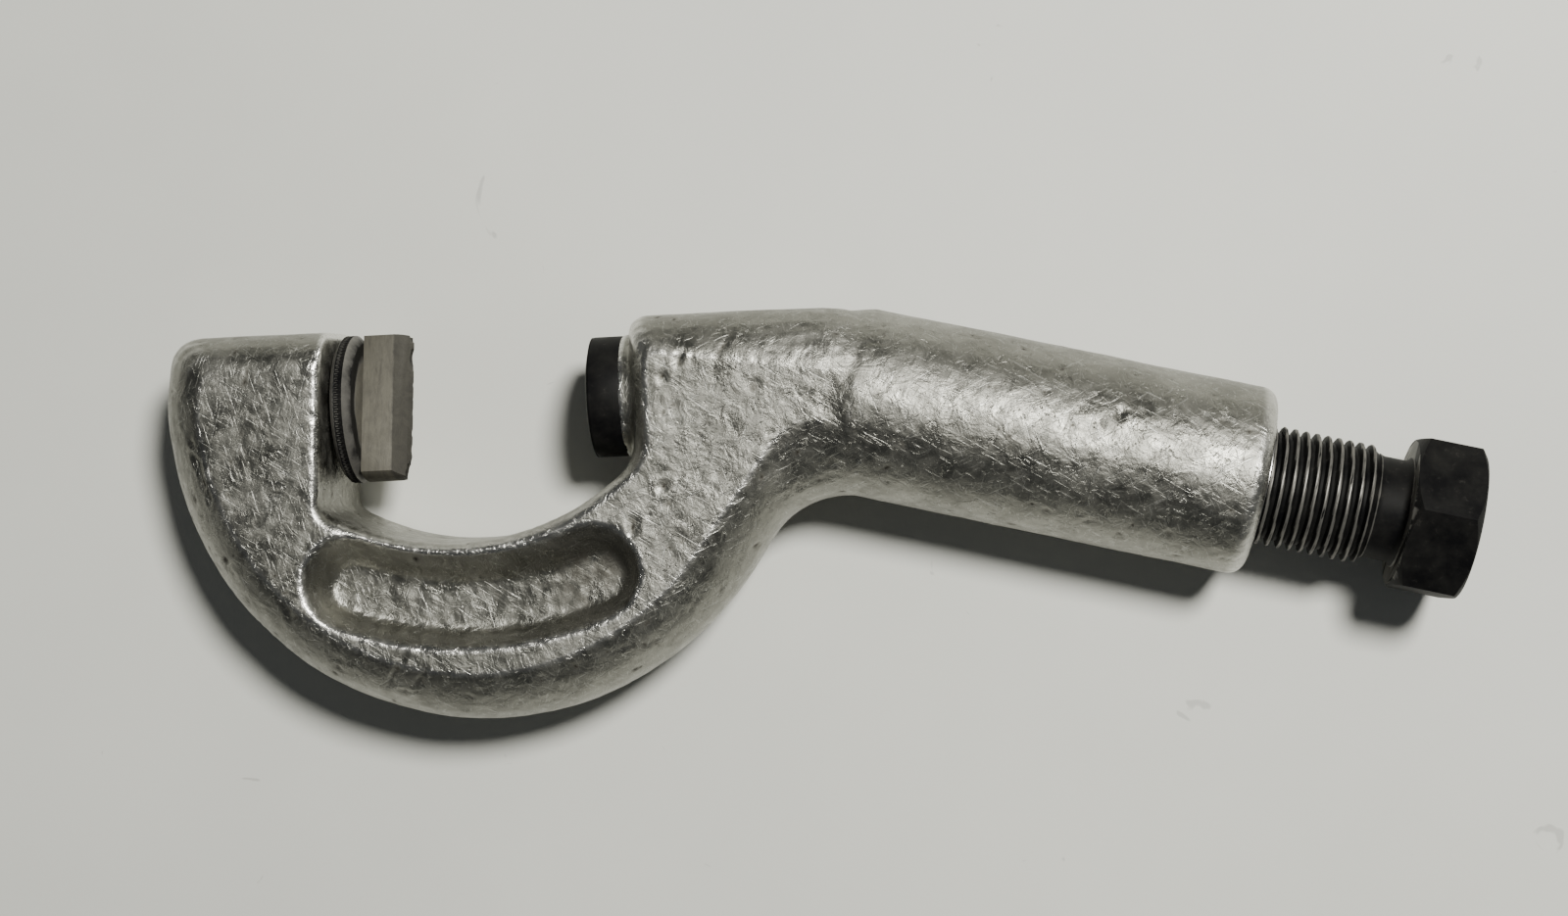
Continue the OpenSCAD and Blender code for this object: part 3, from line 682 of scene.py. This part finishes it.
# place along the edge, how far ahead of the edge the lump's middle is, its size, its stretch
BITES = [
    (9.6, 0.55, 1.35, 1.5), (7.9, 0.75, 1.0, 1.3), (13.6, 0.2, 1.0, 1.0), (4.4, 0.55, 0.7, 1.2),
    (-1.2, 0.6, 0.75, 1.6), (-5.2, 0.6, 0.8, 1.3), (-8.4, 0.6, 0.9, 1.5), (-13.4, 0.2, 1.9, 1.3),
    (-11.2, 0.7, 1.2, 1.3), (1.6, 0.62, 0.7, 1.1),
]
for n, (place, ahead, size, stretch) in enumerate(BITES):
    bpy.ops.object.select_all(action="DESELECT")
    bpy.ops.mesh.primitive_ico_sphere_add(subdivisions=4, radius=size * MM)
    lump = bpy.context.active_object
    for v in lump.data.vertices:
        v.co *= 1 + 0.22 * noise.noise(v.co * 900 + Vector((n * 3, 0, 0)))
        v.co.y *= stretch
    lump.data.transform(Matrix.Rotation(lean, 4, "X"))
    lump.location = on_jaw(edge_x + ahead * MM) + edge_way * place * MM
    settle(lump, "lump")
    apply_modifier(blade, "BOOLEAN", object=lump, operation="DIFFERENCE", solver="MANIFOLD")
    drop(lump)
apply_modifier(blade, "BEVEL", width=0.12 * MM, segments=2, limit_method="ANGLE",
               angle_limit=math.radians(30))
only(blade)
bpy.ops.object.shade_smooth_by_angle(angle=math.radians(24))
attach(blade, "chisel")
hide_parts("chisel")
print("chisel:", triangles(blade), "triangles")

# %% [markdown]
# ## The ram pad
# The pad is a turned disc: a flat pressing face with its edge just broken, a rim, and a wider
# chamfer on the side of the ram. A bar is bevelled at each end by its own amount.

# %% Turn the pad
pad_start, pad_stop = lowest["ram_pad"].x, highest["ram_pad"].x
pad_radius = radius_on("ram_pad", on_jaw(0), jaw_dir)
pad_back = max(
    v.co.x for v in frame["nodes"]["ram_pad"].data.vertices
    if polar_on(on_jaw(0), jaw_dir, v.co)[1].length > pad_radius * 0.8
)
pad = bar(on_jaw(pad_start), on_jaw(pad_back), pad_radius, 128, "pad")
for x, width, steps in ((pad_start, 0.5 * MM, 3), (pad_back, 1.5 * MM, 2)):
    choose(pad, "EDGE", lambda middle, way: abs(middle.x - x) < 0.01 * MM)
    bpy.ops.mesh.bevel(offset=width, segments=steps, affect="EDGES")
    leave_edit()
choose(pad, "FACE", lambda place, normal: normal.x < -0.9)
bpy.ops.mesh.inset(thickness=1.5 * MM)
bpy.ops.mesh.inset(thickness=0.2 * MM, depth=-0.06 * MM)
leave_edit()
settle(pad, "ram_pad_turned")
only(pad)
bpy.ops.object.shade_smooth_by_angle(angle=math.radians(30))
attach(pad, "ram")
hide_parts("ram_pad")
print("pad:", triangles(pad), "triangles, from", pad_start / MM, "to", pad_back / MM)

# %% [markdown]
# ## The return spring
# The spring pushes the ram back when the screw is undone. It is wound to its full length in
# the CAD. A smooth shaded copy of it, with a mesh of its own, is the one that shows.

# %% Return spring
coil = cad_copy("return_spring", "return_spring_coil")
only(coil)
bpy.ops.object.shade_smooth_by_angle(angle=math.radians(50))
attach(coil, "frame")
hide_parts("return_spring")
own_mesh(coil)

# %% [markdown]
# ## Finishes
# Every finish is a Principled shader fed by noise on the piece's own coordinates, in metres, so
# a scale of 1000 gives detail about a millimetre across. Where metal is rubbed bright, the
# pattern has to follow the shape: the convex edges of each new piece are found from the angle
# between their faces, and stored on the points as "wear".

# %% Node helpers
def start_finish(name):
    """A new material with a Principled shader and the piece's coordinates."""
    made = bpy.data.materials.new(name)
    made.use_nodes = True
    nodes = made.node_tree.nodes
    shader = nodes["Principled BSDF"]
    coords = nodes.new("ShaderNodeTexCoord")
    return made, shader, coords.outputs["Object"]


def put(made, kind, links=None, **settings):
    """Adds a node, sets its properties and inputs, and links outputs to its inputs."""
    node = made.node_tree.nodes.new("ShaderNode" + kind)
    for key, value in settings.items():
        if hasattr(node, key):
            setattr(node, key, value)
        else:
            node.inputs[key.replace("_", " ").title()].default_value = value
    for place, output in (links or {}).items():
        made.node_tree.links.new(output, node.inputs[place])
    return node


def grain(made, coords, scale, detail=4.0, rough=0.55, stretch=None, turn=(0, 0, 0), warp=0.0):
    """Noise of a scale per metre. A stretch draws it out into streaks."""
    if stretch:
        mapping = put(made, "Mapping", {"Vector": coords})
        # A texture mapping turns first and then divides, so the streaks run at the turn's angle.
        mapping.vector_type = "TEXTURE"
        mapping.inputs["Scale"].default_value = [1 / s for s in stretch]
        mapping.inputs["Rotation"].default_value = [math.radians(a) for a in turn]
        coords = mapping.outputs["Vector"]
    node = put(made, "TexNoise", {"Vector": coords})
    numbers = {"Scale": scale, "Detail": detail, "Roughness": rough, "Distortion": warp}
    for name, number in numbers.items():
        node.inputs[name].default_value = number
    return node.outputs["Fac"]


def remap(made, value, low, high, to_low=0.0, to_high=1.0):
    """A value moved from one range into another, and held inside it."""
    node = put(made, "MapRange", {"Value": value})
    ends = (("From Min", low), ("From Max", high), ("To Min", to_low), ("To Max", to_high))
    for name, number in ends:
        node.inputs[name].default_value = number
    return node.outputs["Result"]


def both(made, operation, a, b):
    """A sum, product or other function of two values, either of which may be a number."""
    node = put(made, "Math", operation=operation)
    for place, value in ((0, a), (1, b)):
        if isinstance(value, (int, float)):
            node.inputs[place].default_value = value
        else:
            made.node_tree.links.new(value, node.inputs[place])
    return node.outputs["Value"]


def blend(made, share, a, b):
    """A colour between two, where each is a colour or an output."""
    node = made.node_tree.nodes.new("ShaderNodeMix")
    node.data_type = "RGBA"
    made.node_tree.links.new(share, node.inputs["Factor"])
    for place, value in ((6, a), (7, b)):
        if isinstance(value, tuple):
            node.inputs[place].default_value = (*value, 1)
        else:
            made.node_tree.links.new(value, node.inputs[place])
    return node.outputs[2]


def emboss(made, height, depth, strength=1.0, below=None):
    """A bump of a real depth in metres, on top of the bump below."""
    links = {"Height": height}
    if below is not None:
        links["Normal"] = below
    node = put(made, "Bump", links)
    node.inputs["Strength"].default_value = strength
    node.inputs["Distance"].default_value = depth
    return node.outputs["Normal"]


def into(made, shader, **outputs):
    """Links outputs to the inputs of a shader."""
    for name, output in outputs.items():
        made.node_tree.links.new(output, shader.inputs[name.replace("_", " ")])


def wear_of(made):
    """The wear that is stored on the piece's points."""
    return put(made, "Attribute", attribute_name="wear").outputs["Fac"]


# %% [markdown]
# A steel part wears where two faces meet outwards. The signed angle of each edge says how
# convex it is, and its points take the largest share of the edges that meet there.

# %% Wear on convex edges
def mark_edges(obj, gentle=8.0, full=32.0):
    """Stores how convex each point is, from 0 at the gentle angle to 1 at the full one."""
    shape = bmesh.new()
    shape.from_mesh(obj.data)
    found = [0.0] * len(shape.verts)
    for edge in shape.edges:
        if len(edge.link_faces) == 2:
            angle = math.degrees(edge.calc_face_angle_signed(0))
            share = min(1.0, max(0.0, (angle - gentle) / (full - gentle)))
            for v in edge.verts:
                found[v.index] = max(found[v.index], share)
    shape.free()
    layer = obj.data.attributes.new("wear", "FLOAT", "POINT")
    layer.data.foreach_set("value", found)
    print(obj.name, "worn points:", sum(1 for f in found if f > 0.5), "of", len(found))


mark_edges(screw)
mark_edges(collar, 14, 50)
mark_edges(blade, 10, 40)
mark_edges(pad, 24, 100)

# %% [markdown]
# ### Forged aluminium
# The forging is bare metal. It is dull where the dies left it and less rough where hands and
# benches rub its convex creases, and those creases are also painted much paler as a painted
# highlight. It carries three sizes of damage: leafy dings a few millimetres across, fine
# scratches in every direction, and a grain too small to see singly that spreads each highlight.
# Grease has settled in the deepest dents and at one end of the pocket.

# %% Forged aluminium
forged, shader, here = start_finish("forged_aluminium_bare")
cloud = grain(forged, here, 55, 3, 0.6)
patch = grain(forged, here, 230, 5, 0.65, warp=0.6)
fine = grain(forged, here, 2600, 4, 0.7)
leaf_warp = grain(forged, here, 260, 3, 0.6, warp=1.2)
leaf = put(forged, "TexVoronoi", {"Vector": here}, feature="SMOOTH_F1")
leaf.inputs["Scale"].default_value = 430
leaf.inputs["Smoothness"].default_value = 0.35
leaf_mix = both(forged, "ADD", both(forged, "MULTIPLY", leaf.outputs["Distance"], 0.55), leaf_warp)
scratches = 0.0
for turn, scale in ((24, 150), (71, 190), (-33, 170), (-74, 210)):
    streak = grain(forged, here, scale, 3, 0.5, (1, 13, 3), (0, 0, turn), 0.25)
    scratches = both(forged, "MAXIMUM", scratches, remap(forged, streak, 0.63, 0.70))
dings = remap(forged, grain(forged, here, 520, 4, 0.6, warp=1.6), 0.60, 0.72)

bump = emboss(forged, leaf_mix, 0.30 * MM, 0.7)
bump = emboss(forged, dings, -0.13 * MM, 0.7, bump)
bump = emboss(forged, scratches, -0.05 * MM, 0.7, bump)
bump = emboss(forged, fine, 0.07 * MM, 0.7, bump)

grime_spots = remap(forged, grain(forged, here, 340, 6, 0.72, warp=0.8), 0.62, 0.74)
pits = both(forged, "MULTIPLY", remap(forged, wear_of(forged), 0.45, 0.95),
            remap(forged, patch, 0.40, 0.62))
# Grease lies round the ram end of the pocket, so its mask is a soft ball at that place.
pocket_end = put(forged, "VectorMath", {0: here}, operation="DISTANCE")
pocket_end.inputs[1].default_value = (-0.0015, -0.0315, 0.0095)
grease = both(forged, "MULTIPLY", remap(forged, pocket_end.outputs["Value"], 0.012, 0.003),
              remap(forged, patch, 0.36, 0.60))
dirt = both(forged, "MAXIMUM", both(forged, "MULTIPLY", grime_spots, 0.55), pits)
dirt = both(forged, "MAXIMUM", dirt, both(forged, "MULTIPLY", grease, 0.75))
metal = blend(forged, remap(forged, cloud, 0.35, 0.65),
              (0.235, 0.232, 0.208), (0.345, 0.340, 0.308))
metal = blend(forged, both(forged, "MULTIPLY", scratches, 0.35), metal, (0.62, 0.62, 0.59))
metal = blend(forged, dirt, metal, (0.050, 0.044, 0.035))
# Convex creases are polished by handling, which makes them much less rough, and their colour is raised
# to a pale grey as a painted highlight along each crease.
polish_and_painted_highlight = both(forged, "MULTIPLY", put(forged, "Attribute", attribute_name="crease_polish_and_highlight").outputs["Fac"],
              remap(forged, patch, 0.25, 0.6, 0.6, 1.0))
metal = blend(forged, polish_and_painted_highlight, metal, (0.80, 0.79, 0.75))
rough = both(forged, "ADD", remap(forged, patch, 0.36, 0.64, 0.31, 0.52),
             both(forged, "MULTIPLY", dirt, 0.3))
rough = both(forged, "MULTIPLY", rough, remap(forged, polish_and_painted_highlight, 0, 1, 1.0, 0.62))
into(forged, shader, Base_Color=metal, Roughness=rough, Normal=bump)
shader.inputs["Metallic"].default_value = 1.0
print("forged aluminium:", len(forged.node_tree.nodes), "nodes")

# %% [markdown]
# ### Black oxide, and the blade
# The screw, collar and pad are hot blacked: a thin dark skin over steel, a little oily, which
# rubs through to grey on every convex edge. The blade is bare tool steel. Its flats have dried
# to a warm grey with dark streaks, and its bevels are darker, scarred by the nuts.

# %% Black oxide steel
black, shader, here = start_finish("black_oxide_steel")
cloud = grain(black, here, 190, 5, 0.65)
fine = grain(black, here, 2300, 4, 0.7)
rub = both(black, "ADD", wear_of(black), both(black, "MULTIPLY", cloud, 0.9))
rub = remap(black, rub, 1.12, 1.6)
skin_tone = blend(black, remap(black, cloud, 0.38, 0.66),
                  (0.004, 0.004, 0.0045), (0.012, 0.0117, 0.011))
tone = blend(black, rub, skin_tone, (0.24, 0.232, 0.215))
dust = remap(black, grain(black, here, 760, 5, 0.75, warp=0.7), 0.60, 0.75, 0.0, 0.2)
tone = blend(black, dust, tone, (0.12, 0.11, 0.10))
rough = both(black, "ADD", remap(black, cloud, 0.3, 0.7, 0.46, 0.64),
             both(black, "MULTIPLY", rub, -0.1))
bump = emboss(black, cloud, 0.08 * MM, 0.5)
bump = emboss(black, fine, 0.03 * MM, 0.5, bump)
into(black, shader, Base_Color=tone, Roughness=rough, Normal=bump,
     Metallic=remap(black, rub, 0, 1, 0.0, 0.9))
shader.inputs["Specular IOR Level"].default_value = 0.08

# %% Blade steel
bladed, shader, here = start_finish("blade_steel_worn")
split = put(bladed, "SeparateXYZ", {"Vector": here})
streaks = grain(bladed, here, 240, 5, 0.7, (5.0, 0.9, 0.9), (-15.4, 0, 0), 0.5)
mottle = grain(bladed, here, 420, 6, 0.7, warp=0.8)
fine = grain(bladed, here, 2600, 4, 0.7)
on_bevel = remap(bladed, both(bladed, "ADD", split.outputs["X"],
                              both(bladed, "MULTIPLY", mottle, 0.0009)),
                 edge_x - 2.75 * MM, edge_x - 2.35 * MM)
flat_tone = blend(bladed, remap(bladed, streaks, 0.42, 0.66),
                  (0.092, 0.086, 0.066), (0.050, 0.046, 0.036))
bevel_tone = blend(bladed, remap(bladed, mottle, 0.40, 0.64),
                   (0.040, 0.038, 0.031), (0.013, 0.012, 0.010))
tone = blend(bladed, on_bevel, flat_tone, bevel_tone)
stain = remap(bladed, grain(bladed, here, 330, 5, 0.75, (2.2, 1, 1), warp=1.0), 0.63, 0.72, 0, 0.85)
tone = blend(bladed, stain, tone, (0.045, 0.04, 0.035))
tone = blend(bladed, both(bladed, "MULTIPLY", wear_of(bladed), 0.45), tone, (0.30, 0.285, 0.25))
bump = emboss(bladed, mottle, 0.12 * MM, 0.6)
bump = emboss(bladed, streaks, 0.05 * MM, 0.5, bump)
bump = emboss(bladed, fine, 0.03 * MM, 0.4, bump)
into(bladed, shader, Base_Color=tone, Normal=bump,
     Roughness=remap(bladed, mottle, 0.3, 0.7, 0.54, 0.7))
shader.inputs["Metallic"].default_value = 0.4

# %% [markdown]
# ### The inner parts
# Most of these are only seen when the tool is taken apart, yet each gets the finish of its
# own kind: ground and turned steel with fine rings, springs, a zinc plated plug, a copper
# seal, rubber, and the pale plastic of the back-up rings.

# %% Inner finishes
def plain_finish(name, light, dark, metallic, smooth, dull, scale, depth, stretch=None):
    """A finish that varies between two tones and two roughnesses on one grain."""
    made, shader, here = start_finish(name)
    wide = grain(made, here, scale / 8, 4, 0.6)
    small = grain(made, here, scale, 4, 0.65, stretch)
    into(made, shader,
         Base_Color=blend(made, remap(made, both(made, "MULTIPLY", both(made, "ADD", wide, small), 0.5),
                                      0.38, 0.62), light, dark),
         Roughness=remap(made, wide, 0.3, 0.7, smooth, dull),
         Normal=emboss(made, small, depth, 0.5))
    shader.inputs["Metallic"].default_value = metallic
    return made


FINISHES = {
    "forged_aluminium": forged,
    "black_steel": black,
    "chisel_steel": bladed,
    "ground_steel": plain_finish("ground_steel_bright", (0.62, 0.62, 0.61), (0.44, 0.44, 0.43),
                                 1.0, 0.20, 0.34, 1500, 0.02 * MM, (6, 0.5, 0.5)),
    "spring_steel": plain_finish("spring_steel_blued", (0.30, 0.30, 0.32), (0.16, 0.16, 0.18),
                                 1.0, 0.28, 0.42, 1300, 0.02 * MM),
    "zinc_steel": plain_finish("zinc_plated_steel", (0.66, 0.64, 0.56), (0.50, 0.47, 0.38),
                               1.0, 0.26, 0.42, 1100, 0.02 * MM),
    "seal_copper": plain_finish("annealed_copper", (0.70, 0.36, 0.24), (0.42, 0.20, 0.13),
                                1.0, 0.30, 0.48, 900, 0.02 * MM),
    "seal_rubber": plain_finish("nitrile_rubber", (0.030, 0.030, 0.031), (0.014, 0.014, 0.014),
                                0.0, 0.50, 0.68, 1800, 0.03 * MM),
    "backup_plastic": plain_finish("pale_ring_plastic", (0.74, 0.72, 0.66), (0.62, 0.60, 0.54),
                                   0.0, 0.38, 0.52, 1200, 0.02 * MM),
}
for part in frame["record"]["subparts"]:
    node = frame["nodes"][part["node"]]
    node.data.materials.clear()
    node.data.materials.append(FINISHES[part["material_slot"]])
for piece, finish in (
    (skin, forged), (screw, black), (collar, black), (pad, black), (blade, bladed),
    (coil, FINISHES["spring_steel"]),
):
    piece.data.materials.clear()
    piece.data.materials.append(finish)

# %% [markdown]
# ### The tabletop
# The top is a painted board, nearly white, with a faint mottle and a few grey specks.

# %% Tabletop finish
board, shader, here = start_finish("painted_board")
mottle = grain(board, here, 9, 5, 0.6)
texture = grain(board, here, 900, 4, 0.6)
specks = remap(board, grain(board, here, 95, 3, 0.5, warp=1.4), 0.735, 0.765, 0, 0.4)
tone = blend(board, remap(board, mottle, 0.35, 0.65), (0.765, 0.77, 0.720), (0.715, 0.72, 0.675))
tone = blend(board, specks, tone, (0.33, 0.33, 0.31))
into(board, shader, Base_Color=tone, Normal=emboss(board, texture, 0.05 * MM, 0.25))
shader.inputs["Roughness"].default_value = 0.55
floor.data.materials.append(board)
